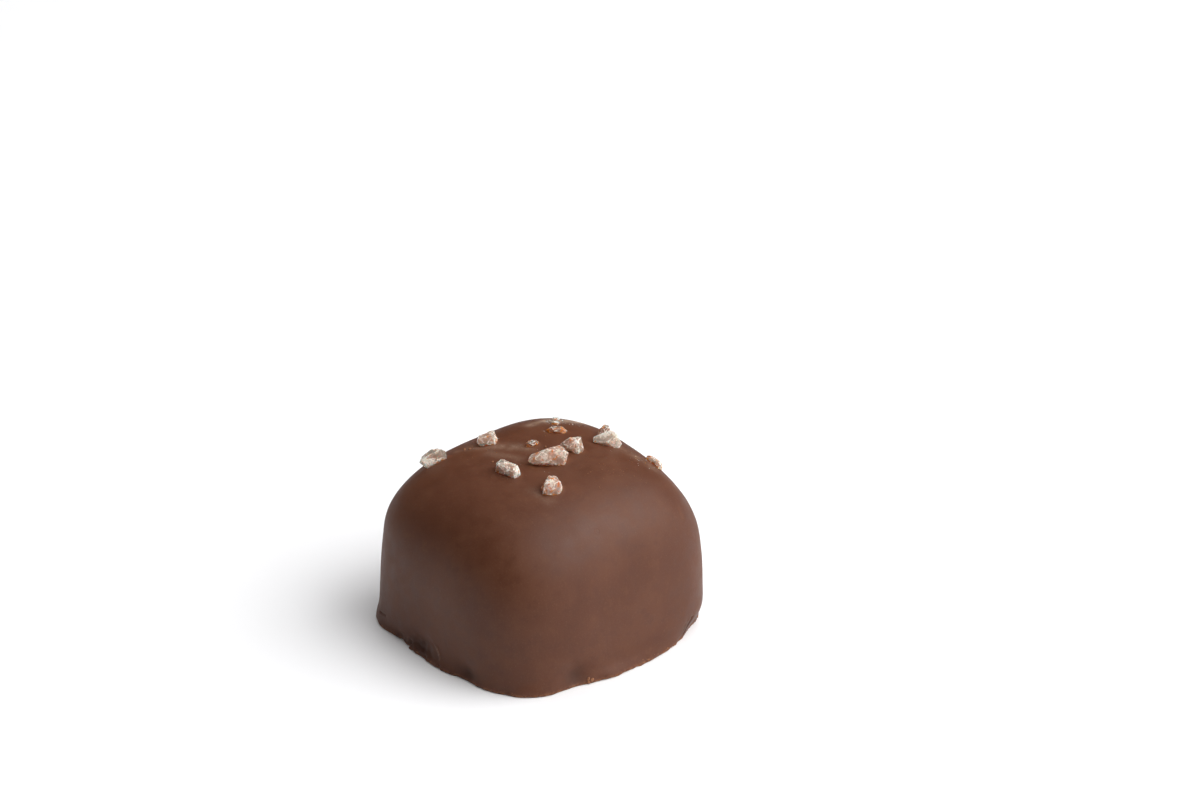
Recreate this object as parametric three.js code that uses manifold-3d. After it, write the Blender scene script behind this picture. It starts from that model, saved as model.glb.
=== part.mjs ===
// A square of caramel coated all round in chocolate, with coarse salt crystals set in its crown.
// Millimetres, +Z up. The origin is on the surface it stands on, under the middle of the square.

import * as THREE from 'three';
import { ConvexGeometry } from 'three/addons/geometries/ConvexGeometry.js';
import { ParametricGeometry } from 'three/addons/geometries/ParametricGeometry.js';
import { mergeVertices } from 'three/addons/utils/BufferGeometryUtils.js';
import Module from 'manifold-3d';

// The coated square
const HALF_X = 14.3;
const HALF_Y = 14.9;
const HEIGHT = 18.8;
const SIDE_HEIGHT = 5.2;      // up to here the sides stand upright
const SHOULDER_POWER = 3.4;   // higher is a squarer shoulder
const CROWN_POWER = 3.05;     // higher is a flatter crown
const FOOT_CORNER = 3.8;      // higher is a squarer corner, seen from above
const CROWN_CORNER = 2.85;
const CROWN_DRAW = 0.01;      // share by which the sides lean in at the top
const RISE_X = -0.043;        // the crown isn't quite level
const RISE_Y = 0.05;
const FOOT_ROUND = 0.25;

// Places where the coating swells or sinks: degrees round from +X, how far that spreads,
// height, how tall it is, and the push outward
const SWELLS = [
  { at: 229, spread: 9, height: 0.4, tall: 1.1, push: 0.36 },
  { at: 225, spread: 22, height: 7.5, tall: 4.5, push: -0.10 },
  { at: 228, spread: 16, height: 12.8, tall: 2.4, push: 0.30 },
  { at: 248, spread: 8, height: 0.3, tall: 1.2, push: -0.50 },
  { at: 263, spread: 7, height: 1.6, tall: 0.9, push: -0.30 },
  { at: 273, spread: 13, height: 0.0, tall: 0.9, push: 0.32 },
  { at: 283, spread: 11, height: 0.4, tall: 1.4, push: 0.22 },
  { at: 291, spread: 6, height: 1.3, tall: 1.3, push: -0.42 },
  { at: 310, spread: 12, height: 0.5, tall: 1.4, push: 0.10 },
  { at: 320, spread: 7, height: 0.0, tall: 1.2, push: 0.34 },
  { at: 334, spread: 6, height: 1.4, tall: 1.8, push: -0.50 },
  { at: 350, spread: 15, height: 0.0, tall: 1.2, push: 0.74 },
  { at: 12, spread: 10, height: 0.0, tall: 1.2, push: 0.38 },
  { at: 40, spread: 13, height: 0.0, tall: 1.6, push: -1.00 },
  { at: 50, spread: 22, height: 6.5, tall: 4.0, push: 0.10 },
  { at: 50, spread: 16, height: 11.0, tall: 2.5, push: 0.15 },
  { at: 66, spread: 17, height: 15.5, tall: 2.5, push: -0.30 },
  { at: 98, spread: 14, height: 17.4, tall: 2.0, push: 0.15 },
  // the side away from the front corner: a lip where the chocolate ran out, and soft hollows
  { at: 135, spread: 28, height: 0.2, tall: 0.8, push: 0.65 },
  { at: 82, spread: 10, height: 0.2, tall: 0.8, push: 0.25 },
  { at: 104, spread: 20, height: 9.0, tall: 5.0, push: -0.20 },
  { at: 176, spread: 20, height: 7.0, tall: 4.0, push: 0.12 },
];

// The ragged foot: waves round it, where each starts and its size
const RIPPLES = [
  { waves: 7, start: 0.9, size: 0.05 },
  { waves: 12, start: 2.1, size: 0.05 },
  { waves: 19, start: 4.0, size: 0.04 },
  { waves: 31, start: 1.3, size: 0.03 },
];
const RIPPLE_TALL = 0.9;

// The crystals: place on the crown, length, width and height, degrees that the length is turned
// from +X, how much one end narrows (the far one if above 0), how much the top narrows, how
// blocky it is, and the seed of its uneven corners
const SALT = [
  { x: -8.6, y: -7.1, size: [3.0, 1.3, 1.9], turn: 62, point: 0.25, peak: 0.15, blocky: 0.55, seed: 45 },
  { x: -6.6, y: -1.7, size: [2.2, 1.7, 1.6], turn: 62, point: -0.35, peak: 0.10, blocky: 0.70, seed: 59 },
  { x: -0.1, y: -4.2, size: [3.1, 1.6, 1.5], turn: 12, point: 0.10, peak: 0.25, blocky: 0.75, seed: 37 },
  { x: -2.7, y: 1.2, size: [1.5, 1.0, 0.8], turn: 60, point: 0.20, peak: 0.30, blocky: 0.60, seed: 57 },
  { x: 1.2, y: 0.1, size: [4.5, 2.1, 2.2], turn: 60, point: -0.60, peak: 0.10, blocky: 0.70, seed: 44 },
  { x: 0.8, y: 3.7, size: [2.7, 1.7, 1.9], turn: 30, point: -0.45, peak: 0.25, blocky: 0.65, seed: 10 },
  { x: 5.3, y: -2.7, size: [2.8, 2.3, 1.9], turn: 142, point: 0.50, peak: 0.20, blocky: 0.75, seed: 46 },
  { x: -3.4, y: 5.1, size: [2.3, 1.0, 0.75], turn: 50, point: 0.10, peak: 0.40, blocky: 0.70, seed: 10 },
  { x: 1.6, y: 7.8, size: [3.1, 1.7, 2.1], turn: 42, point: -0.30, peak: 0.50, blocky: 0.65, seed: 2 },
  { x: -0.6, y: 9.2, size: [1.3, 1.1, 1.5], turn: 50, point: 0, peak: 0.50, blocky: 0.70, seed: 25 },
  { x: 5.2, y: 11.2, size: [2.3, 1.5, 0.8], turn: 30, point: 0, peak: 0.20, blocky: 0.70, seed: 9 },
  { x: -5.2, y: 6.4, size: [0.8, 0.5, 0.35], turn: 45, point: 0, peak: 0.30, blocky: 0.70, seed: 4 },
  { x: -6.4, y: 7.5, size: [0.9, 0.6, 0.4], turn: 60, point: 0, peak: 0.30, blocky: 0.70, seed: 6 },
  { x: -11.2, y: 9.8, size: [1.9, 1.5, 1.0], turn: 20, point: 0.20, peak: 0.30, blocky: 0.65, seed: 33 },
  { x: -3.4, y: 13.4, size: [1.8, 1.4, 1.0], turn: 150, point: 0.20, peak: 0.30, blocky: 0.70, seed: 35 },
];
const SUNK = 0.22;            // share of a crystal's height that is under the chocolate
const FACE_SHIFT = 0.3;       // how far the middle of a crystal's face may stray, as a share
const SLOPE_STEP = 0.3;       // over which the crown's slope is taken

// Steps of the facets
const AROUND = 112;
const SIDE_STEPS = 9;
const FOOT_STEPS = 3;
const CROWN_STEPS = 25;
const SEARCH_STEPS = 40;

const TURN = Math.PI * 2;
const DEGREE = Math.PI / 180;

// A linear congruential generator: the same draws each time, from 0 to 1, from a whole-number seed
const FACTOR = 1664525;
const STEP = 1013904223;
const MODULUS = 2 ** 32;
const WARM_UP = 3;

function seededDraws(seed) {
  let state = seed;
  const draw = () => {
    state = (state * FACTOR + STEP) % MODULUS;
    return state / MODULUS;
  };
  for (let turn = 0; turn < WARM_UP; turn++) draw();
  return draw;
}

// How far the angle is from another, the short way round
function angleBetween(angle, other) {
  const apart = (angle - other) % TURN;
  if (apart > Math.PI) return apart - TURN;
  if (apart < -Math.PI) return apart + TURN;
  return apart;
}

// The coating's reach from the middle axis: a rounded square with its swells and ripples
function outline(angle, z) {
  const lift = z / HEIGHT;
  const power = FOOT_CORNER + (CROWN_CORNER - FOOT_CORNER) * lift ** 1.5;
  const acrossX = Math.abs(Math.cos(angle) / HALF_X) ** power;
  const acrossY = Math.abs(Math.sin(angle) / HALF_Y) ** power;
  let reach = (acrossX + acrossY) ** (-1 / power) * (1 - CROWN_DRAW * lift);
  for (const { at, spread, height, tall, push } of SWELLS) {
    const away = angleBetween(angle, at * DEGREE) / (spread * DEGREE);
    const above = (z - height) / tall;
    reach += push * Math.exp(-away * away - above * above);
  }
  for (const { waves, start, size } of RIPPLES) {
    reach += size * Math.sin(waves * angle + start) * Math.exp(-((z / RIPPLE_TALL) ** 2));
  }
  return reach;
}

// A point of the coating at a share of its reach there, drawn in by an inset
function coating(angle, z, share, inset = 0) {
  const reach = (outline(angle, z) - inset) * share;
  const x = reach * Math.cos(angle);
  const y = reach * Math.sin(angle);
  return new THREE.Vector3(x, y, z * (1 + (RISE_X * x) / HALF_X + (RISE_Y * y) / HALF_Y));
}

// The height and share of the reach on the crown's curve, from 0 at its middle to 1 at the sides
function crownCurve(down) {
  const bend = ((1 - down) * Math.PI) / 2;
  return {
    z: SIDE_HEIGHT + (HEIGHT - SIDE_HEIGHT) * Math.sin(bend) ** (2 / CROWN_POWER),
    share: Math.max(Math.cos(bend), 0) ** (2 / SHOULDER_POWER),
  };
}

// The rings of the coating from the middle of its flat underside up to the middle of its crown
function coatingRings() {
  const rings = [
    { z: 0, share: 0, inset: FOOT_ROUND },
    { z: 0, share: 0.5, inset: FOOT_ROUND },
  ];
  for (let step = 0; step <= FOOT_STEPS; step++) {
    const bend = (step / FOOT_STEPS) * (Math.PI / 2);
    rings.push({ z: FOOT_ROUND * (1 - Math.cos(bend)), share: 1, inset: FOOT_ROUND * (1 - Math.sin(bend)) });
  }
  for (let step = 1; step <= SIDE_STEPS; step++) {
    const rise = (step / SIDE_STEPS) ** 1.6;
    rings.push({ z: FOOT_ROUND + (SIDE_HEIGHT - FOOT_ROUND) * rise, share: 1, inset: 0 });
  }
  for (let step = 1; step <= CROWN_STEPS; step++) {
    rings.push({ ...crownCurve(1 - step / CROWN_STEPS), inset: 0 });
  }
  return rings;
}

// Leaves out the triangles that have no width, where the rings close on the axis
function closedGeometry(geometry) {
  geometry.deleteAttribute('normal');
  geometry.deleteAttribute('uv');
  const merged = mergeVertices(geometry, 1e-5);
  const corners = merged.index.array;
  const kept = [];
  for (let i = 0; i < corners.length; i += 3) {
    const [a, b, c] = corners.slice(i, i + 3);
    if (a !== b && b !== c && c !== a) kept.push(a, b, c);
  }
  merged.setIndex(kept);
  return merged;
}

function coatingGeometry() {
  const rings = coatingRings();
  const surface = (u, v, target) => {
    const { z, share, inset } = rings[Math.round(v * (rings.length - 1))];
    target.copy(coating((u % 1) * TURN, z, share, inset));
  };
  return closedGeometry(new ParametricGeometry(surface, AROUND, rings.length - 1));
}

// The point of the crown over a place, found down its curve
function crownAt(x, y) {
  const angle = Math.atan2(y, x);
  const reach = Math.hypot(x, y);
  let near = 0;
  let far = 1;
  for (let step = 0; step < SEARCH_STEPS; step++) {
    const middle = (near + far) / 2;
    const { z, share } = crownCurve(middle);
    if (outline(angle, z) * share < reach) near = middle;
    else far = middle;
  }
  const { z, share } = crownCurve(near);
  return coating(angle, z, share);
}

// A frame on the crown: its length along the turn, its height straight out of the chocolate
function crownFrame(x, y, turn) {
  const alongX = crownAt(x + SLOPE_STEP, y).sub(crownAt(x - SLOPE_STEP, y));
  const alongY = crownAt(x, y + SLOPE_STEP).sub(crownAt(x, y - SLOPE_STEP));
  const out = alongX.cross(alongY).normalize();
  const length = new THREE.Vector3(Math.cos(turn * DEGREE), Math.sin(turn * DEGREE), 0);
  length.addScaledVector(out, -length.dot(out)).normalize();
  const width = out.clone().cross(length);
  return new THREE.Matrix4().makeBasis(length, width, out);
}

// A broken crystal about its own middle: eight uneven corners and a point near each face's middle
function crystalPoints({ size, point, peak, blocky, seed }) {
  const draw = seededDraws(seed);
  const [length, width, height] = size;
  const points = [];
  for (const sideX of [-1, 1]) {
    for (const sideY of [-1, 1]) {
      for (const sideZ of [-1, 1]) {
        const narrow = 1 - Math.max(0, sideX * point);
        const top = 1 - Math.max(0, sideZ * peak);
        const x = (sideX * length * top * (blocky + (1 - blocky) * draw())) / 2;
        const y = (sideY * width * top * narrow * (blocky + (1 - blocky) * draw())) / 2;
        const z = (sideZ * height * narrow * (blocky + (1 - blocky) * draw())) / 2;
        points.push(new THREE.Vector3(x, y, z));
      }
    }
  }
  for (let axis = 0; axis < 3; axis++) {
    for (const side of [-1, 1]) {
      const place = size.map((extent) => (draw() - 0.5) * FACE_SHIFT * extent);
      place[axis] = (side * size[axis]) / 2;
      points.push(new THREE.Vector3(...place));
    }
  }
  return points;
}

function crystalGeometry(crystal) {
  const { x, y, turn, size } = crystal;
  const middle = new THREE.Vector3(0, 0, size[2] * (0.5 - SUNK));
  const frame = crownFrame(x, y, turn);
  middle.applyMatrix4(frame).add(crownAt(x, y));
  frame.setPosition(middle);
  const points = crystalPoints(crystal).map((corner) => corner.applyMatrix4(frame));
  return closedGeometry(new ConvexGeometry(points));
}

const wasm = await Module();
wasm.setup();

function toSolid(geometry) {
  const vertProperties = new Float32Array(geometry.attributes.position.array);
  const triVerts = new Uint32Array(geometry.index.array);
  return new wasm.Manifold(new wasm.Mesh({ numProp: 3, vertProperties, triVerts }));
}

function toGeometry(solid) {
  const { numProp, vertProperties, triVerts } = solid.getMesh();
  const geometry = new THREE.BufferGeometry();
  geometry.setAttribute('position', new THREE.BufferAttribute(vertProperties, numProp));
  geometry.setIndex(new THREE.BufferAttribute(triVerts, 1));
  geometry.computeVertexNormals();
  return geometry;
}

let candySolid = toSolid(coatingGeometry());
for (const crystal of SALT) {
  candySolid = candySolid.add(toSolid(crystalGeometry(crystal)));
}

const chocolate = new THREE.MeshStandardMaterial({ color: 0x6b4638, roughness: 0.55, metalness: 0 });
const candy = new THREE.Mesh(toGeometry(candySolid), chocolate);
candy.name = 'candy';

const group = new THREE.Group();
group.add(candy);

export default group;
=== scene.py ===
# A chocolate-coated caramel square with coarse salt on its crown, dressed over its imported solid.
# The form is worked out in millimetres, as the solid's is, and scaled to metres at the end.

import math

import bmesh
import bpy
import numpy as np
from mathutils import Matrix, Vector, noise


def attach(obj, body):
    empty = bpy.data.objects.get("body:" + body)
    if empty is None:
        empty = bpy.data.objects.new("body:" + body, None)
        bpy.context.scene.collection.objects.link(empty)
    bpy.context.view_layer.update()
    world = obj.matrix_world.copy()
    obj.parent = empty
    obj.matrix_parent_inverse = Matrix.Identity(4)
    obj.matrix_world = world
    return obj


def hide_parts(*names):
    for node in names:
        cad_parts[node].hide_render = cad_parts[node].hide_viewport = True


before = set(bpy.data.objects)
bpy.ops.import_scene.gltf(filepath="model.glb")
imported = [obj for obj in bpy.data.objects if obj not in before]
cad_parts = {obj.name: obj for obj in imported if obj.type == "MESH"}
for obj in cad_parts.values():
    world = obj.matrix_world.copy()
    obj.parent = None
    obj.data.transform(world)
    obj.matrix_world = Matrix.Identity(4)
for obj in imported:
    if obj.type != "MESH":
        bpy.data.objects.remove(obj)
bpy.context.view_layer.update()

MM = 0.001

# The coated square, as in the solid
HALF_X = 14.3
HALF_Y = 14.9
HEIGHT = 18.8
SIDE_HEIGHT = 5.2
SHOULDER_POWER = 3.4
CROWN_POWER = 3.05
FOOT_CORNER = 3.8
CROWN_CORNER = 2.85
CROWN_DRAW = 0.01
RISE_X = -0.043
RISE_Y = 0.05
FOOT_ROUND = 0.25

# Swells and hollows of the coating: degrees round from +X, spread, height, tallness, push outward
SWELLS = [
    (229, 9, 0.4, 1.1, 0.36),
    (225, 22, 7.5, 4.5, -0.10),
    (228, 16, 12.8, 2.4, 0.30),
    (248, 8, 0.3, 1.2, -0.50),
    (263, 7, 1.6, 0.9, -0.30),
    (273, 13, 0.0, 0.9, 0.32),
    (283, 11, 0.4, 1.4, 0.22),
    (291, 6, 1.3, 1.3, -0.42),
    (310, 12, 0.5, 1.4, 0.10),
    (320, 7, 0.0, 1.2, 0.34),
    (334, 6, 1.4, 1.8, -0.50),
    (350, 15, 0.0, 1.2, 0.74),
    (12, 10, 0.0, 1.2, 0.38),
    (40, 13, 0.0, 1.6, -1.00),
    (50, 22, 6.5, 4.0, 0.10),
    (50, 16, 11.0, 2.5, 0.15),
    (66, 17, 15.5, 2.5, -0.30),
    (98, 14, 17.4, 2.0, 0.15),
    (135, 28, 0.2, 0.8, 0.65),
    (82, 10, 0.2, 0.8, 0.25),
    (104, 20, 9.0, 5.0, -0.20),
    (176, 20, 7.0, 4.0, 0.12),
]

# The ragged foot: waves round it, where each starts and its size
RIPPLES = [(7, 0.9, 0.05), (12, 2.1, 0.05), (19, 4.0, 0.04), (31, 1.3, 0.03)]
RIPPLE_TALL = 0.9

# The crystals, as in the solid: place, length, width, height, turn, point, peak, blocky, seed.
# The last three numbers are the scene's own: how rusty, how pink and how white each crystal is.
SALT = [
    (-8.6, -7.1, 3.0, 1.3, 1.9, 62, 0.25, 0.15, 0.55, 45, 0.12, 0.00, 0.20),
    (-6.6, -1.7, 2.2, 1.7, 1.6, 62, -0.35, 0.10, 0.70, 59, 0.45, 0.35, 0.55),
    (-0.1, -4.2, 3.1, 1.6, 1.5, 12, 0.10, 0.25, 0.75, 37, 0.20, 0.60, 0.40),
    (-2.7, 1.2, 1.5, 1.0, 0.8, 60, 0.20, 0.30, 0.60, 57, 0.80, 1.00, 0.10),
    (1.2, 0.1, 4.5, 2.1, 2.2, 60, -0.60, 0.10, 0.70, 44, 0.45, 1.00, 0.60),
    (0.8, 3.7, 2.7, 1.7, 1.9, 30, -0.45, 0.25, 0.65, 10, 0.30, 0.80, 0.40),
    (5.3, -2.7, 2.8, 2.3, 1.9, 142, 0.50, 0.20, 0.75, 46, 0.50, 0.70, 0.48),
    (-3.4, 5.1, 2.3, 1.0, 0.75, 50, 0.10, 0.40, 0.70, 10, 0.60, 0.90, 0.20),
    (1.6, 7.8, 3.1, 1.7, 2.1, 42, -0.30, 0.50, 0.65, 2, 0.15, 0.15, 0.80),
    (-0.6, 9.2, 1.3, 1.1, 1.5, 50, 0.0, 0.50, 0.70, 25, 0.45, 0.90, 0.00),
    (5.2, 11.2, 2.3, 1.5, 0.8, 30, 0.0, 0.20, 0.70, 9, 0.70, 0.50, 0.40),
    (-5.2, 6.4, 0.8, 0.5, 0.35, 45, 0.0, 0.30, 0.70, 4, 0.35, 0.50, 0.70),
    (-6.4, 7.5, 0.9, 0.6, 0.4, 60, 0.0, 0.30, 0.70, 6, 0.45, 0.40, 0.80),
    (-11.2, 9.8, 1.9, 1.5, 1.0, 20, 0.20, 0.30, 0.65, 33, 0.30, 0.50, 0.50),
    (-3.4, 13.4, 1.8, 1.4, 1.0, 150, 0.20, 0.30, 0.70, 35, 0.40, 0.50, 0.50),
]
SUNK = 0.22
FACE_SHIFT = 0.3

# How the crown is found at a place: halvings of its curve, and a step to either side for its slope
HALVINGS = 40
SLOPE_STEP = 0.3

# From this width up a crystal has its full detail and its full collar of chocolate
LARGE_WIDTH = 1.6

# The photograph's size in pixels, the pixel where the candy's origin falls, and the scale there
PHOTO_WIDTH = 1200
PHOTO_HEIGHT = 800
ORIGIN_PX = (539.3, 617.6)
MM_PER_PX = 0.1065

# Where the photograph's camera stood: degrees round from -Y towards +X, degrees up, and how far
AZIMUTH = 50.75
ELEVATION = 28.0
DISTANCE = 407.0
SENSOR_WIDTH = 36.0

# Colours, in linear light
CHOCOLATE_DEEP = (0.096, 0.0310, 0.0138)
CHOCOLATE_WARM = (0.112, 0.0385, 0.0178)
CHOCOLATE_DARK = (0.083, 0.0262, 0.0118)
CHOCOLATE_LIGHT = (0.128, 0.047, 0.0225)
CHOCOLATE_GRAIN = (0.19, 0.092, 0.052)
# Pale bloom, also used as the painted highlight on ridge tops
CHOCOLATE_BLOOM_AND_HIGHLIGHT = (0.58, 0.43, 0.32)
# Painted shade for the torn hollows and the underside at the foot
CHOCOLATE_PAINTED_SHADE = (0.050, 0.020, 0.0125)
CHOCOLATE_RIM = (0.30, 0.125, 0.052)
# Painted glow of light through the salt onto the chocolate
CHOCOLATE_SALT_GLOW = (0.24, 0.09, 0.04)
SALT_CLEAR = (0.86, 0.73, 0.60)
SALT_PINK = (0.84, 0.52, 0.39)
# White of bruised salt, also the painted highlight along sharp edges
SALT_WHITE = (0.95, 0.86, 0.78)
# Rusty stain, also the painted orange glow at a crystal's foot
SALT_STAIN = (0.66, 0.24, 0.06)
SALT_SPOTS = (0.60, 0.11, 0.02)
CRUMB_DARK = (0.14, 0.052, 0.022)
CRUMB_LIGHT = (0.38, 0.16, 0.070)
FLOOR_COLOUR = (0.92, 0.92, 0.93)


def seeded_draws(seed):
    """A linear congruential generator from 0 to 1, the one that shapes the solid's crystals."""
    state = seed

    def draw():
        nonlocal state
        state = (state * 1664525 + 1013904223) % 2**32
        return state / 2**32

    for _ in range(3):
        draw()
    return draw


def angle_between(angle, other):
    """How far one angle is past another, from minus half a turn to half a turn."""
    return (angle - other + math.pi) % math.tau - math.pi


def outline(angle, z):
    """The coating's reach from the middle axis: a rounded square with its swells and ripples."""
    lift = z / HEIGHT
    power = FOOT_CORNER + (CROWN_CORNER - FOOT_CORNER) * lift**1.5
    across_x = np.abs(np.cos(angle) / HALF_X) ** power
    across_y = np.abs(np.sin(angle) / HALF_Y) ** power
    reach = (across_x + across_y) ** (-1 / power) * (1 - CROWN_DRAW * lift)
    for at, spread, height, tall, push in SWELLS:
        away = angle_between(angle, math.radians(at)) / math.radians(spread)
        reach = reach + push * np.exp(-(away**2) - ((z - height) / tall) ** 2)
    for waves, start, size in RIPPLES:
        reach = reach + size * np.sin(waves * angle + start) * np.exp(-((z / RIPPLE_TALL) ** 2))
    return reach


def coating_point(angle, z, share, inset=0.0):
    """A point of the coating at a share of its reach. Its height leans with the crown's slant."""
    reach = (outline(angle, z) - inset) * share
    x = reach * np.cos(angle)
    y = reach * np.sin(angle)
    return np.stack([x, y, z * (1 + RISE_X * x / HALF_X + RISE_Y * y / HALF_Y)], axis=-1)


def crown_curve(down):
    """Height and share of the reach, from 0 at the crown's middle to 1 at the upright sides."""
    bend = (1 - down) * math.pi / 2
    z = SIDE_HEIGHT + (HEIGHT - SIDE_HEIGHT) * math.sin(bend) ** (2 / CROWN_POWER)
    return z, max(math.cos(bend), 0.0) ** (2 / SHOULDER_POWER)


def crown_at(x, y):
    """The point of the crown over a place, found down its curve."""
    angle, reach = math.atan2(y, x), math.hypot(x, y)
    near, far = 0.0, 1.0
    for _ in range(HALVINGS):
        middle = (near + far) / 2
        z, share = crown_curve(middle)
        if outline(angle, z) * share < reach:
            near = middle
        else:
            far = middle
    z, share = crown_curve(near)
    return Vector(coating_point(angle, z, share))


def crown_frame(x, y, turn):
    """Axes on the crown: length along the turn, height straight out of the chocolate."""
    along_x = crown_at(x + SLOPE_STEP, y) - crown_at(x - SLOPE_STEP, y)
    along_y = crown_at(x, y + SLOPE_STEP) - crown_at(x, y - SLOPE_STEP)
    out = along_x.cross(along_y).normalized()
    length = Vector((math.cos(math.radians(turn)), math.sin(math.radians(turn)), 0))
    length = (length - out * length.dot(out)).normalized()
    width = out.cross(length)
    return Matrix((length, width, out)).transposed()


def new_piece(name, vertices, faces, material, smooth=True, masks=None):
    """A mesh given in millimetres that rides with the candy, with named masks on its points."""
    mesh = bpy.data.meshes.new(name)
    mesh.from_pydata([tuple(v) for v in np.asarray(vertices) * MM], [], faces)
    mesh.polygons.foreach_set("use_smooth", [smooth] * len(mesh.polygons))
    for mask, values in (masks or {}).items():
        mesh.attributes.new(mask, "FLOAT", "POINT").data.foreach_set("value", values)
    mesh.materials.append(material)
    mesh.update()
    piece = bpy.data.objects.new(name, mesh)
    bpy.context.scene.collection.objects.link(piece)
    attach(piece, "root")
    return piece


def fineness(width):
    """The share of full detail that a crystal of this width has."""
    return min(1.0, width / LARGE_WIDTH)


class Nodes:
    """Short calls for building a material's node tree. Its noises count waves for each mm."""

    def __init__(self, name):
        self.material = bpy.data.materials.new(name)
        self.material.use_nodes = True
        self.tree = self.material.node_tree
        self.shader = self.tree.nodes["Principled BSDF"]
        place = self.tree.nodes.new("ShaderNodeTexCoord").outputs["Object"]
        scale = self.tree.nodes.new("ShaderNodeVectorMath")
        scale.operation = "SCALE"
        scale.inputs["Scale"].default_value = 1 / MM
        self.tree.links.new(place, scale.inputs[0])
        self.place = scale.outputs[0]

    def link(self, source, target):
        """Joins a socket to another, or sets the other to a number."""
        if hasattr(source, "links"):
            self.tree.links.new(source, target)
        else:
            target.default_value = source

    def noise(self, per_mm, detail=3.0, rough=0.5):
        node = self.tree.nodes.new("ShaderNodeTexNoise")
        self.link(self.place, node.inputs["Vector"])
        node.inputs["Scale"].default_value = per_mm
        node.inputs["Detail"].default_value = detail
        node.inputs["Roughness"].default_value = rough
        return node.outputs["Fac"]

    def between(self, value, low, high, at_low=0.0, at_high=1.0):
        """Turns smoothly from one number to another as the value goes from low to high."""
        node = self.tree.nodes.new("ShaderNodeMapRange")
        node.interpolation_type = "SMOOTHSTEP"
        self.link(value, node.inputs["Value"])
        node.inputs["From Min"].default_value = low
        node.inputs["From Max"].default_value = high
        node.inputs["To Min"].default_value = at_low
        node.inputs["To Max"].default_value = at_high
        return node.outputs["Result"]

    def math(self, operation, first, second=0.0):
        node = self.tree.nodes.new("ShaderNodeMath")
        node.operation = operation
        self.link(first, node.inputs[0])
        self.link(second, node.inputs[1])
        return node.outputs[0]

    def mix(self, share, first, second):
        """Mixes two colours. The node's sockets 6, 7 and 2 are its colours A, B and Result."""
        node = self.tree.nodes.new("ShaderNodeMix")
        node.data_type = "RGBA"
        self.link(share, node.inputs["Factor"])
        for socket, colour in ((node.inputs[6], first), (node.inputs[7], second)):
            if isinstance(colour, tuple):
                socket.default_value = (*colour, 1)
            else:
                self.link(colour, socket)
        return node.outputs[2]

    def mask(self, name):
        node = self.tree.nodes.new("ShaderNodeAttribute")
        node.attribute_name = name
        return node.outputs["Fac"]

    def distance(self, point):
        node = self.tree.nodes.new("ShaderNodeVectorMath")
        node.operation = "DISTANCE"
        self.link(self.place, node.inputs[0])
        node.inputs[1].default_value = point
        return node.outputs["Value"]

    def times(self, *values):
        product = values[0]
        for value in values[1:]:
            product = self.math("MULTIPLY", product, value)
        return product

    def bump(self, height, depth_mm, before=None):
        node = self.tree.nodes.new("ShaderNodeBump")
        node.inputs["Distance"].default_value = depth_mm * MM
        self.link(height, node.inputs["Height"])
        if before is not None:
            self.link(before, node.inputs["Normal"])
        return node.outputs["Normal"]

    def set(self, **values):
        for name, value in values.items():
            socket = self.shader.inputs[name.replace("_", " ")]
            if isinstance(value, tuple):
                socket.default_value = value
            else:
                self.link(value, socket)


# A burst bubble in the coating: where it is, its radius and how thick its ring is
BUBBLE = (11.54, -1.88, 15.40)
BUBBLE_REACH = 0.30
BUBBLE_RING = 0.10


def chocolate_material():
    """Satin chocolate: mottled and finely grained, pale with bloom and a painted highlight on ridge
    tops, darkened by painted shade in the torn hollows at the foot, with a painted orange glow round
    the salt.
    """
    n = Nodes("chocolate")
    patches = n.noise(0.16, detail=2.0)
    mottle = n.noise(0.6, detail=5.0, rough=0.62)
    grain = n.noise(6.0, detail=4.0, rough=0.65)
    dust = n.between(n.noise(3.2, detail=5.0, rough=0.75), 0.46, 0.66)
    colour = n.mix(n.between(patches, 0.35, 0.65), CHOCOLATE_DEEP, CHOCOLATE_WARM)
    colour = n.mix(n.between(mottle, 0.50, 0.36, 0.0, 0.45), colour, CHOCOLATE_DARK)
    colour = n.mix(n.between(mottle, 0.54, 0.70, 0.0, 0.45), colour, CHOCOLATE_LIGHT)
    colour = n.mix(n.between(grain, 0.52, 0.76, 0.0, 0.26), colour, CHOCOLATE_GRAIN)
    drifts = n.between(n.noise(0.9, detail=4.0, rough=0.6), 0.36, 0.60, 0.45, 1.0)
    # Real bloom and dust smears, and the painted highlight on ridge tops
    bloom_and_highlight = n.times(n.mask("bloom_and_highlight"), drifts, n.between(dust, 0.0, 1.0, 0.60, 1.0))
    colour = n.mix(n.times(bloom_and_highlight, 0.85), colour, CHOCOLATE_BLOOM_AND_HIGHLIGHT)
    # Painted shade: the torn hollows at the foot are darkened in the colour
    colour = n.mix(n.mask("painted_shade"), colour, CHOCOLATE_PAINTED_SHADE)
    rim = n.times(n.mask("rim"), n.between(n.noise(2.6, detail=4.0, rough=0.7), 0.40, 0.58))
    colour = n.mix(n.times(rim, 0.9), colour, CHOCOLATE_RIM)
    # Painted glow: light through the salt, painted as a warmer tint on the chocolate round each
    # crystal
    colour = n.mix(n.times(n.mask("salt_glow"), 0.35), colour, CHOCOLATE_SALT_GLOW)
    ring = n.math("ABSOLUTE", n.math("SUBTRACT", n.distance(BUBBLE), BUBBLE_REACH))
    relief = n.bump(n.between(ring, 0.0, BUBBLE_RING, 1.0, 0.0), 0.015)
    relief = n.bump(mottle, 0.02, relief)
    n.set(
        Base_Color=colour,
        Roughness=n.math("ADD", n.between(mottle, 0.3, 0.7, 0.48, 0.60), n.times(bloom_and_highlight, 0.2)),
        IOR=1.37,
        Subsurface_Weight=0.12,
        Subsurface_Radius=(1.0, 0.4, 0.2),
        Subsurface_Scale=0.6 * MM,
        Normal=n.bump(grain, 0.006, relief),
    )
    return n.material


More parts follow.
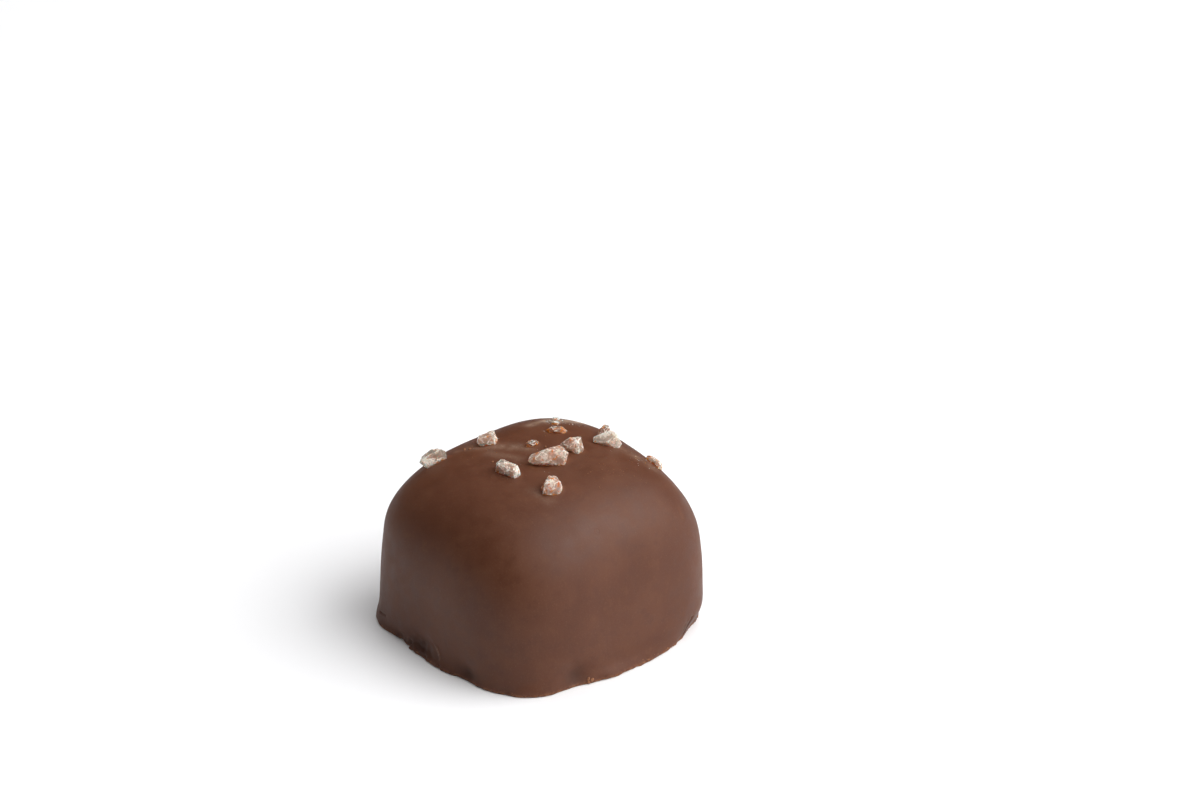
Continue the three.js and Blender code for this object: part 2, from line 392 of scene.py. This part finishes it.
def salt_material():
    """Clear to pink salt: white where it is bruised inside, white along an edge for frost and a
    painted highlight, rusty in spots, with a painted orange glow at the foot.
    """
    n = Nodes("salt")
    patches = n.math("ADD", n.noise(0.9, detail=2.0), n.times(n.mask("white"), 0.24))
    patches = n.between(patches, 0.46, 0.78)
    speckle = n.between(n.noise(3.6, detail=4.0, rough=0.6), 0.32, 0.66, 0.35, 1.0)
    # The white along sharp edges is partly frost and partly painted highlight
    frost_and_highlight_lines = n.times(n.mask("edge"), n.between(n.noise(2.2, detail=3.0), 0.38, 0.60))
    white = n.math("MAXIMUM", n.times(patches, speckle), frost_and_highlight_lines)
    pink = n.math("ADD", n.noise(0.7, detail=3.0), n.math("MULTIPLY", n.mask("pink"), 0.3))
    clear = n.mix(n.between(pink, 0.45, 0.85), SALT_CLEAR, SALT_PINK)
    colour = n.mix(white, clear, SALT_WHITE)
    # Rust stain; the rust mask also carries a painted orange glow at each crystal's foot
    stain = n.math("ADD", n.noise(1.9, detail=4.0, rough=0.7), n.math("MULTIPLY", n.mask("rust"), 0.2))
    stain = n.between(stain, 0.62, 0.74)
    colour = n.mix(stain, colour, SALT_STAIN)
    spots = n.math("ADD", n.noise(3.6, detail=2.0), n.math("MULTIPLY", n.mask("rust"), 0.08))
    spots = n.between(spots, 0.72, 0.78)
    colour = n.mix(spots, colour, SALT_SPOTS)
    seen_through = n.times(
        n.between(n.mask("white"), 0.0, 0.6, 0.88, 0.55),
        n.between(white, 0.0, 1.0, 1.0, 0.25),
        n.between(stain, 0.0, 1.0, 1.0, 0.4),
    )
    n.set(
        Base_Color=colour,
        Roughness=n.between(white, 0.0, 1.0, 0.10, 0.35),
        IOR=1.54,
        Transmission_Weight=seen_through,
        Subsurface_Weight=0.9,
        Subsurface_Radius=(1.0, 0.7, 0.6),
        Subsurface_Scale=0.9 * MM,
        Normal=n.bump(n.noise(5.0, detail=4.0, rough=0.6), 0.04),
    )
    return n.material


def crumb_material():
    """Dry chocolate crumbs, some darker than others."""
    n = Nodes("crumb")
    colour = n.mix(n.noise(2.2), CRUMB_DARK, CRUMB_LIGHT)
    n.set(Base_Color=colour, Roughness=0.75, Normal=n.bump(n.noise(12.0), 0.02))
    return n.material


# Steps of the coating's mesh. The side's steps grow upward, from fine ones at the foot.
AROUND = 520
UNDERSIDE_SHARES = (0.0, 0.25, 0.5, 0.75, 0.9)
FOOT_STEPS = 8
SIDE_STEPS = 58
SIDE_GROWTH = 1.3
CROWN_STEPS = 116

# A length that counts as none, where a ring has shrunk to a point
TINY = 1e-9

# The coating's low relief: size of its waves and how deep they are. The foot's fades out upward.
RELIEF = [(6.0, 0.045), (2.3, 0.020), (1.1, 0.006)]
FOOT_RELIEF = [(2.2, 0.10), (0.9, 0.08), (0.45, 0.045)]
FOOT_RELIEF_TALL = 0.55

# How far up the foot's thin, lighter rim shows
RIM_TALL = 0.28

# The chocolate round each crystal: a collar, and a painted orange glow of light through the crystal
# that fades outward.
# The footprint is the share of a crystal's length and width at which its side meets the chocolate.
# Both are kept to what lies within a level above or below the crystal's place.
FOOTPRINT = 0.45
COLLAR_HEIGHT = 0.05
COLLAR_SPREAD = 0.22
COLLAR_LEVEL = 1.0
SALT_GLOW_REACH = 0.18

# Scores, cracks and ridges on the sides: from and to, each as degrees round and height, then
# how wide and how deep. A ridge has a depth below 0.
SCORES = [
    (234.6, 1.52, 239.4, 1.82, 0.14, 0.16),
    (269.5, 3.10, 272.0, 2.75, 0.11, -0.02),
    (272.0, 2.75, 274.2, 2.35, 0.12, -0.05),
    (274.2, 2.35, 276.4, 1.55, 0.14, -0.10),
    (276.4, 1.55, 277.0, 1.10, 0.16, -0.05),
    (254.6, 0.10, 256.2, 0.85, 0.22, 0.30),
    (266.5, 0.05, 267.5, 0.50, 0.20, 0.14),
    (276.4, 0.00, 277.2, 0.40, 0.20, 0.20),
    (31.2, 1.00, 33.4, 2.30, 0.10, -0.06),
    (33.2, 0.60, 35.6, 2.20, 0.16, 0.30),
    (150.0, 0.40, 156.0, 0.90, 0.18, 0.14),
    (112.0, 1.60, 118.0, 1.20, 0.15, 0.10),
    (196.0, 0.10, 197.5, 0.70, 0.22, 0.22),
]

# How strong the painted highlight on a ridge's top is, and the ridge height from which it is full
RIDGE_HIGHLIGHT = 0.35
RIDGE_HEIGHT = 0.1

# Rough patches at the foot where the chocolate tore, darkened with painted shade in their hollows:
# degrees round, height, spread, tallness, then how deep, how rough and how dark the painted shade is
SCRAPES = [
    (264.0, 0.9, 7.5, 1.0, 0.14, 0.12, 0.75),
    (251.0, 0.2, 5.0, 0.6, 0.00, 0.08, 0.60),
    (292.0, 0.9, 4.0, 0.8, 0.12, 0.03, 0.60),
    (333.5, 1.1, 4.0, 1.3, 0.08, 0.02, 0.60),
    (33.8, 1.3, 3.0, 1.0, 0.04, 0.18, 0.75),
    (92.0, 0.8, 9.0, 1.1, 0.12, 0.10, 0.50),
    (152.0, 0.7, 6.0, 0.8, 0.08, 0.10, 0.50),
    (197.0, 0.6, 4.0, 0.9, 0.10, 0.08, 0.60),
]

# Waves of a torn patch: their size, and their depth as a share of how rough the patch is
TORN_RELIEF = [(0.9, 1.0), (0.4, 0.7)]

# Pale smears of cocoa butter and salt dust on the crown: from, to, reach and strength
BLOOMS = [
    (-7.3, -3.2, -2.4, 0.5, 0.8, 0.26),
    (-4.5, -3.0, -1.2, -1.6, 0.7, 0.16),
    (-6.9, 4.4, -6.6, 5.8, 0.7, 0.50),
    (-6.5, 6.3, -5.2, 9.6, 0.9, 0.90),
    (3.2, 8.8, 6.6, 9.8, 0.8, 0.22),
    (-8.2, -4.7, -7.2, -3.9, 0.3, 0.28),
    (4.2, -4.6, 6.8, -4.2, 0.6, 0.14),
]


def coating_rings():
    """Height, share of the reach and inset of each ring, from the underside up to the crown."""
    rings = [(0.0, share, FOOT_ROUND) for share in UNDERSIDE_SHARES]
    for step in range(FOOT_STEPS + 1):
        bend = step / FOOT_STEPS * math.pi / 2
        rings.append((FOOT_ROUND * (1 - math.cos(bend)), 1.0, FOOT_ROUND * (1 - math.sin(bend))))
    for step in range(1, SIDE_STEPS + 1):
        rise = (step / SIDE_STEPS) ** SIDE_GROWTH
        rings.append((FOOT_ROUND + (SIDE_HEIGHT - FOOT_ROUND) * rise, 1.0, 0.0))
    for step in range(1, CROWN_STEPS + 1):
        rings.append((*crown_curve(1 - step / CROWN_STEPS), 0.0))
    return rings


def layered_noise(points, layers):
    """The sum of some noises, each given as the size of its waves and its depth."""
    total = np.zeros(len(points))
    for size, depth in layers:
        total += depth * np.array([noise.noise(Vector(p)) for p in points / size])
    return total


def distance_to_line(points, start, end):
    """How far each point is from the nearest place on a straight line between two ends."""
    line = end - start
    along = np.clip((points - start) @ line / (line @ line), 0.0, 1.0)
    return np.linalg.norm(points - start - along[:, None] * line, axis=1)


def scores(points):
    """How far scores, ridges and scrapes lift the coating, where a ridge's top takes a painted
    highlight, and how dark the painted shade is in the scrapes.
    """
    lift = np.zeros(len(points))
    ridge_highlight = np.zeros(len(points))
    painted_shade = np.zeros(len(points))
    for from_at, from_z, to_at, to_z, wide, deep in SCORES:
        start = coating_point(math.radians(from_at), from_z, 1.0)
        end = coating_point(math.radians(to_at), to_z, 1.0)
        near = np.exp(-((distance_to_line(points, start, end) / wide) ** 2))
        lift -= deep * near
        if deep < 0:
            # A painted highlight along a ridge's top
            ridge_highlight = np.maximum(ridge_highlight, RIDGE_HIGHLIGHT * min(1.0, -deep / RIDGE_HEIGHT) * near**2)
    angle = np.arctan2(points[:, 1], points[:, 0])
    torn = layered_noise(points, TORN_RELIEF)
    for at, height, spread, tall, deep, rough, strong in SCRAPES:
        away = angle_between(angle, math.radians(at)) / math.radians(spread)
        near = np.exp(-(away**2) - ((points[:, 2] - height) / tall) ** 2)
        lift += (rough * torn - deep) * near
        # painted shade in the scrape's hollow
        painted_shade = np.maximum(painted_shade, strong * near)
    return lift, ridge_highlight, painted_shade


def closeness_to_salt(points):
    """1 at the foot of a crystal, falling off outward, where the painted glow lies, and the collar of
    chocolate there.
    """
    close = np.zeros(len(points))
    collar = np.zeros(len(points))
    for x, y, length, width, _, turn, *_ in SALT:
        axes = np.array(crown_frame(x, y, turn))
        local = (points - np.array(crown_at(x, y))) @ axes
        ring = np.hypot(local[:, 0] / (FOOTPRINT * length), local[:, 1] / (FOOTPRINT * width))
        level = np.abs(local[:, 2]) < COLLAR_LEVEL
        bulge = np.exp(-(((ring - 1.0) / COLLAR_SPREAD) ** 2))
        collar += fineness(width) * COLLAR_HEIGHT * bulge * level
        away = np.maximum(ring - 1.0, 0.0) * FOOTPRINT * min(length, width)
        close = np.maximum(close, np.exp(-((away / SALT_GLOW_REACH) ** 2)) * level)
    return close, collar


def blooms(points):
    """How strong the pale smears are at each point."""
    strength = np.zeros(len(points))
    for from_x, from_y, to_x, to_y, reach, strong in BLOOMS:
        start = np.array(crown_at(from_x, from_y))
        end = np.array(crown_at(to_x, to_y))
        away = distance_to_line(points, start, end)
        strength = np.maximum(strength, strong * np.exp(-((away / reach) ** 2)))
    return strength


def make_coating(material):
    """The coating's mesh. Also returns its points and their ways out, for what lies on it."""
    rings = coating_rings()
    angles = np.arange(AROUND) * math.tau / AROUND
    grid = np.stack([coating_point(angles, *ring) for ring in rings])
    around = np.roll(grid, -1, axis=1) - np.roll(grid, 1, axis=1)
    out = np.cross(around, np.gradient(grid, axis=0))
    length = np.linalg.norm(out, axis=-1, keepdims=True)
    out = np.where(length > TINY, out / np.maximum(length, TINY), (0.0, 0.0, 1.0))
    points = grid.reshape(-1, 3)
    out = out.reshape(-1, 3)
    z = points[:, 2]
    near_foot = np.exp(-((z / FOOT_RELIEF_TALL) ** 2))
    close, collar = closeness_to_salt(points)
    depth = layered_noise(points, RELIEF) + layered_noise(points, FOOT_RELIEF) * near_foot
    scored, ridge_highlight, painted_shade = scores(points)
    depth += scored + collar
    push = out * depth[:, None]
    push[z <= 0, 2] = 0.0  # the underside stays flat
    masks = {
        # The bloom mask: real bloom and dust smears, and the painted highlight on ridge tops
        "bloom_and_highlight": np.maximum(blooms(points), ridge_highlight),
        "rim": np.exp(-((z / RIM_TALL) ** 2)) * (z > 0),
        # painted shade in the foot's hollows
        "painted_shade": painted_shade,
        "salt_glow": close,
    }
    points = points + push
    points[:, 2] = np.maximum(points[:, 2], 0.0)
    kept = slice(AROUND, -AROUND)  # the first and last rings become one point each
    vertices = np.vstack([points[kept], points[:AROUND].mean(0), points[-AROUND:].mean(0)])
    masks = {name: np.append(values[kept], (0.0, 0.0)) for name, values in masks.items()}
    last = len(rings) - 3
    faces = []
    for ring in range(last):
        low, high = ring * AROUND, (ring + 1) * AROUND
        for step in range(AROUND):
            after = (step + 1) % AROUND
            faces.append((low + step, low + after, high + after, high + step))
    bottom, top = len(vertices) - 2, len(vertices) - 1
    for step in range(AROUND):
        after = (step + 1) % AROUND
        faces.append((bottom, after, step))
        faces.append((top, last * AROUND + step, last * AROUND + after))
    piece = new_piece("coating", vertices, faces, material, masks=masks)
    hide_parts("candy")
    return points[kept], out[kept]


def crystal_points(length, width, height, point, peak, blocky, draw):
    """Eight uneven corners and a point near each face's middle, about the crystal's own middle."""
    points = []
    for side_x in (-1, 1):
        for side_y in (-1, 1):
            for side_z in (-1, 1):
                narrow = 1 - max(0, side_x * point)
                top = 1 - max(0, side_z * peak)
                x = side_x * length * top * (blocky + (1 - blocky) * draw()) / 2
                y = side_y * width * top * narrow * (blocky + (1 - blocky) * draw()) / 2
                z = side_z * height * narrow * (blocky + (1 - blocky) * draw()) / 2
                points.append(Vector((x, y, z)))
    size = (length, width, height)
    for axis in range(3):
        for side in (-1, 1):
            place = [(draw() - 0.5) * FACE_SHIFT * extent for extent in size]
            place[axis] = side * size[axis] / 2
            points.append(Vector(place))
    return points


def hull_mesh(points):
    """The block that just wraps the points, without those that lie inside it."""
    shape = bmesh.new()
    for point in points:
        shape.verts.new(point)
    made = bmesh.ops.convex_hull(shape, input=shape.verts)
    loose = {e for e in made["geom_interior"] if isinstance(e, bmesh.types.BMVert)}
    bmesh.ops.delete(shape, geom=list(loose), context="VERTS")
    return shape


# How the crystals are broken: flats knocked off, how deep as shares of the smallest size
CHIPS = 5
CHIP_DEPTHS = (0.03, 0.11)
CRYSTAL_CUTS = 3
CRYSTAL_RELIEF = [(0.8, 0.05), (0.32, 0.035), (0.14, 0.014)]

# Facets that meet at less than the first angle are one facet. From the second on, their edge is
# sharp, frosted and given a painted highlight.
FLAT_ANGLE = math.radians(5)
SHARP_ANGLE = 0.30
EDGE_ROUND = 0.035
EDGE_FROST_AND_HIGHLIGHT = 0.06

# A painted orange glow where a crystal meets the chocolate, added to its rust, and how far up it
# reaches
FOOT_GLOW = 0.7
FOOT_GLOW_TALL = 0.15


def chip(shape, size, draw):
    """Knocks small flats off the crystal's corners."""
    for _ in range(CHIPS):
        way = Vector((draw() - 0.5, draw() - 0.5, draw() - 0.5)).normalized()
        reach = max(vert.co.dot(way) for vert in shape.verts)
        depth = CHIP_DEPTHS[0] + (CHIP_DEPTHS[1] - CHIP_DEPTHS[0]) * draw()
        plane = way * (reach - depth * min(size))
        geometry = shape.verts[:] + shape.edges[:] + shape.faces[:]
        cut = bmesh.ops.bisect_plane(
            shape, geom=geometry, plane_co=plane, plane_no=way, clear_outer=True
        )
        rim = [e for e in cut["geom_cut"] if isinstance(e, bmesh.types.BMEdge)]
        bmesh.ops.holes_fill(shape, edges=rim)


def crystal_shape(length, width, height, point, peak, blocky, draw):
    """A chipped block with bevelled edges, finely divided, and the ends of its sharp edges."""
    shape = hull_mesh(crystal_points(length, width, height, point, peak, blocky, draw))
    chip(shape, (length, width, height), draw)
    bmesh.ops.dissolve_limit(
        shape, angle_limit=FLAT_ANGLE, verts=shape.verts[:], edges=shape.edges[:]
    )
    sharp = [edge for edge in shape.edges if edge.calc_face_angle(0.0) > SHARP_ANGLE]
    ends = np.array([[vert.co[:] for vert in edge.verts] for edge in sharp])
    bmesh.ops.bevel(
        shape, geom=shape.edges[:], offset=EDGE_ROUND * fineness(width), segments=1,
        affect="EDGES", clamp_overlap=True,
    )
    bmesh.ops.triangulate(shape, faces=shape.faces[:])
    bmesh.ops.subdivide_edges(shape, edges=shape.edges[:], cuts=CRYSTAL_CUTS, use_grid_fill=True)
    bmesh.ops.recalc_face_normals(shape, faces=shape.faces[:])
    shape.normal_update()
    shape.verts.index_update()
    return shape, ends


def make_crystals(material):
    """The coarse salt, each crystal sunk a little in the crown."""
    vertices, faces, masks = [], [], {"edge": [], "rust": [], "pink": [], "white": []}
    for x, y, length, width, height, turn, point, peak, blocky, seed, rust, pink, white in SALT:
        draw = seeded_draws(seed)
        shape, ends = crystal_shape(length, width, height, point, peak, blocky, draw)
        fine = fineness(width)
        lift = height * (0.5 - SUNK)
        places = np.array([vert.co[:] for vert in shape.verts])
        normals = np.array([vert.normal[:] for vert in shape.verts])
        to_edge = np.min([distance_to_line(places, start, end) for start, end in ends], axis=0)
        above = np.maximum(places[:, 2] + lift, 0.0)
        # The edge mask: frost and a painted highlight along sharp edges
        masks["edge"].extend(np.exp(-((to_edge / (EDGE_FROST_AND_HIGHLIGHT * fine)) ** 2)))
        # The rust mask: the crystal's own rust, and a painted orange glow at its foot
        masks["rust"].extend(rust + FOOT_GLOW * np.exp(-((above / FOOT_GLOW_TALL) ** 2)))
        masks["pink"].extend(np.full(len(places), pink))
        masks["white"].extend(np.full(len(places), white))
        relief = [(wide * fine, deep * fine) for wide, deep in CRYSTAL_RELIEF]
        places += normals * layered_noise(places + seed, relief)[:, None]
        axes = np.array(crown_frame(x, y, turn))
        middle = np.array(crown_at(x, y)) + axes @ (0, 0, lift)
        first = len(vertices)
        vertices.extend(places @ axes.T + middle)
        faces.extend(tuple(first + vert.index for vert in face.verts) for face in shape.faces)
        shape.free()
    piece = new_piece(
        "salt_crystals", vertices, faces, material, smooth=False, masks=masks
    )
    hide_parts("candy")


# A grain's shape: how much its top narrows and how blocky it is, then how far its middle is
# lifted out of the chocolate, as a share of its height
GRAIN_PEAK = 0.2
GRAIN_BLOCKY = 0.5
GRAIN_LIFT = 0.22


def scatter(name, surface, places, material, seed, masks):
    """Joins small uneven grains that lie on the coating: each a place, a size and a flatness."""
    draw = seeded_draws(seed)
    points, outs = surface
    vertices, faces = [], []
    for place, size, flat in places:
        nearest = np.argmin(((points - np.array(place)) ** 2).sum(axis=1))
        out = Vector(outs[nearest])
        width, height = size * (0.5 + 0.4 * draw()), size * flat
        shape = hull_mesh(crystal_points(size, width, height, 0, GRAIN_PEAK, GRAIN_BLOCKY, draw))
        shape.verts.index_update()
        turn = Matrix.Rotation(draw() * math.tau, 3, "Z")
        stand = out.to_track_quat("Z", "Y").to_matrix() @ turn
        middle = Vector(points[nearest]) + out * height * GRAIN_LIFT
        corners = [stand @ vert.co + middle for vert in shape.verts]
        off_floor = Vector((0, 0, max(0.0, -min(corner.z for corner in corners))))
        first = len(vertices)
        vertices.extend(corner + off_floor for corner in corners)
        faces.extend(tuple(first + vert.index for vert in face.verts) for face in shape.faces)
        shape.free()
    masks = {mask: np.full(len(vertices), value) for mask, value in masks.items()}
    new_piece(name, vertices, faces, material, smooth=False, masks=masks)


# Fine salt: middle of a patch on the crown, how far it spreads, how many grains, their size
DUST = [
    (-5.8, 7.0, 1.1, 130, 0.12),
    (-4.2, 8.6, 1.0, 24, 0.10),
    (-3.4, 5.0, 1.5, 8, 0.08),
    (1.2, 0.4, 2.6, 14, 0.07),
    (5.3, -2.7, 2.0, 12, 0.07),
    (1.6, 7.8, 2.0, 10, 0.08),
    (-0.1, -4.2, 2.0, 10, 0.07),
    (-6.6, -1.9, 1.8, 8, 0.07),
    (5.4, 9.2, 1.6, 22, 0.09),
    (0.0, 2.0, 8.0, 24, 0.05),
]
# The dust takes some of the edge mask's frost and painted highlight
DUST_MASKS = {"edge": 0.3, "rust": 0.6, "pink": 0.8, "white": 0.5}

# How flat the grains lie, and how closely a patch's grains keep to its middle
STREWN_FLAT = 0.6
STREWN_GATHERED = 0.7


def strewn(patches, draw):
    """Grains scattered over patches of the crown, thickest in the middle of each."""
    places = []
    for x, y, spread, count, size in patches:
        for _ in range(count):
            away = spread * draw() ** STREWN_GATHERED
            way = math.tau * draw()
            place = crown_at(x + away * math.cos(way), y + away * math.sin(way))
            places.append((place, size * (0.5 + 1.1 * draw() ** 2), STREWN_FLAT))
    return places


def make_dust(material, surface):
    """The fine salt on the crown."""
    places = strewn(DUST, seeded_draws(71))
    scatter("salt_dust", surface, places, material, 72, DUST_MASKS)


# Crumbs of chocolate round the foot: from and to in degrees, how many, their size
CRUMBS_AT_FOOT = [
    (0, 360, 90, 0.10),
    (4, 32, 30, 0.15),
    (338.6, 341, 6, 0.28),
    (250, 282, 22, 0.14),
    (40, 50, 12, 0.13),
    (110, 165, 40, 0.13),
]
FOOT_CRUMBS_TALL = 0.5
FOOT_CRUMB_FLAT = 0.35

# Single crumbs on the crown: place and size
CRUMBS_ON_CROWN = [(-7.6, -4.1, 0.42), (-7.0, -3.7, 0.34), (-2.9, -4.1, 0.30), (-1.4, 1.9, 0.35)]
CROWN_CRUMB_FLAT = 0.5

# Fine crumbs strewn on the crown: middle, how far they spread, how many, their size
FINE_CRUMBS = [(6.5, 4.5, 3.6, 60, 0.09), (-5.0, -2.5, 3.0, 14, 0.10)]


def make_crumbs(material, surface):
    """Crumbs of chocolate at the foot, most of them low down, and on the crown."""
    draw = seeded_draws(83)
    places = []
    for start, end, count, size in CRUMBS_AT_FOOT:
        for _ in range(count):
            angle = math.radians(start + (end - start) * draw())
            grain = size * (0.5 + 1.2 * draw() ** 2)
            z = 0.8 * grain + FOOT_CRUMBS_TALL * draw() ** 2
            places.append((coating_point(angle, z, 1.0), grain, FOOT_CRUMB_FLAT))
    for x, y, size in CRUMBS_ON_CROWN:
        places.append((crown_at(x, y), size, CROWN_CRUMB_FLAT))
    places.extend(strewn(FINE_CRUMBS, draw))
    scatter("crumbs", surface, places, material, 84, {})


# The studio, in metres: the floor's half width, then each light's way from the candy, its power and
# whether the coating mirrors it. The lights are alike in size and stand equally far off.
FLOOR_REACH = 3.0
LIGHTS = {
    "key": ((0.64, 0.51, 0.58), 3.8, True),
    "top": ((0.40, 0.30, 0.87), 4.0, True),
    "back": ((-0.70, 0.04, 0.70), 1.7, False),
}
LIGHT_SIZE = (0.80, 0.70)
LIGHT_DISTANCE = 0.6
LIT_MIDDLE = Vector((0, 0, 0.01))
WORLD_STRENGTH = 0.02


def make_floor():
    """A plain pale floor under the candy."""
    mesh = bpy.data.meshes.new("floor")
    sides = (-FLOOR_REACH, FLOOR_REACH)
    corners = [(x, y, 0) for x in sides for y in sides]
    mesh.from_pydata(corners, [], [(0, 2, 3, 1)])
    material = bpy.data.materials.new("floor")
    material.use_nodes = True
    shader = material.node_tree.nodes["Principled BSDF"]
    shader.inputs["Base Color"].default_value = (*FLOOR_COLOUR, 1)
    shader.inputs["Roughness"].default_value = 0.8
    shader.inputs["Specular IOR Level"].default_value = 0.1
    mesh.materials.append(material)
    floor = bpy.data.objects.new("floor", mesh)
    bpy.context.scene.collection.objects.link(floor)


def make_light(name, toward, power, mirrored):
    data = bpy.data.lights.new(name, "AREA")
    data.shape = "RECTANGLE"
    data.size, data.size_y = LIGHT_SIZE
    data.energy = power
    light = bpy.data.objects.new(name, data)
    way = Vector(toward).normalized()
    light.location = way * LIGHT_DISTANCE + LIT_MIDDLE
    light.rotation_mode = "QUATERNION"
    light.rotation_quaternion = way.to_track_quat("Z", "Y")
    light.visible_camera = False
    light.visible_glossy = mirrored
    bpy.context.scene.collection.objects.link(light)


def make_world():
    """White where the camera sees it, and a faint light on the candy."""
    world = bpy.data.worlds.new("studio")
    bpy.context.scene.world = world
    world.use_nodes = True
    tree = world.node_tree
    background = tree.nodes["Background"]
    background.inputs["Color"].default_value = (1.0, 1.0, 1.0, 1)
    seen = tree.nodes.new("ShaderNodeLightPath").outputs["Is Camera Ray"]
    strength = tree.nodes.new("ShaderNodeMapRange")
    strength.inputs["To Min"].default_value = WORLD_STRENGTH
    strength.inputs["To Max"].default_value = 1.0
    tree.links.new(seen, strength.inputs["Value"])
    tree.links.new(strength.outputs["Result"], background.inputs["Strength"])


def make_camera():
    """Stands where the photograph's camera stood, level, with the candy at the same pixels."""
    azimuth, elevation = math.radians(AZIMUTH), math.radians(ELEVATION)
    back = Vector((
        math.sin(azimuth) * math.cos(elevation),
        -math.cos(azimuth) * math.cos(elevation),
        math.sin(elevation),
    ))
    right = Vector((math.cos(azimuth), math.sin(azimuth), 0))
    up = back.cross(right)
    across = (PHOTO_WIDTH / 2 - ORIGIN_PX[0]) * MM_PER_PX
    above = (ORIGIN_PX[1] - PHOTO_HEIGHT / 2) * MM_PER_PX
    target = (right * across + up * above) * MM
    data = bpy.data.cameras.new("camera")
    data.sensor_width = SENSOR_WIDTH
    data.lens = DISTANCE / MM_PER_PX / PHOTO_WIDTH * SENSOR_WIDTH
    data.clip_start, data.clip_end = 0.01, 10.0
    camera = bpy.data.objects.new("camera", data)
    camera.location = back * DISTANCE * MM
    camera.rotation_mode = "QUATERNION"
    camera.rotation_quaternion = (camera.location - target).to_track_quat("Z", "Y")
    bpy.context.scene.collection.objects.link(camera)
    bpy.context.scene.camera = camera


make_camera()
salt = salt_material()
coating_surface = make_coating(chocolate_material())
make_crystals(salt)
make_dust(salt, coating_surface)
make_crumbs(crumb_material(), coating_surface)
make_floor()
make_world()
for name, (toward, power, mirrored) in LIGHTS.items():
    make_light(name, toward, power, mirrored)
bpy.context.scene.view_settings.view_transform = "Standard"
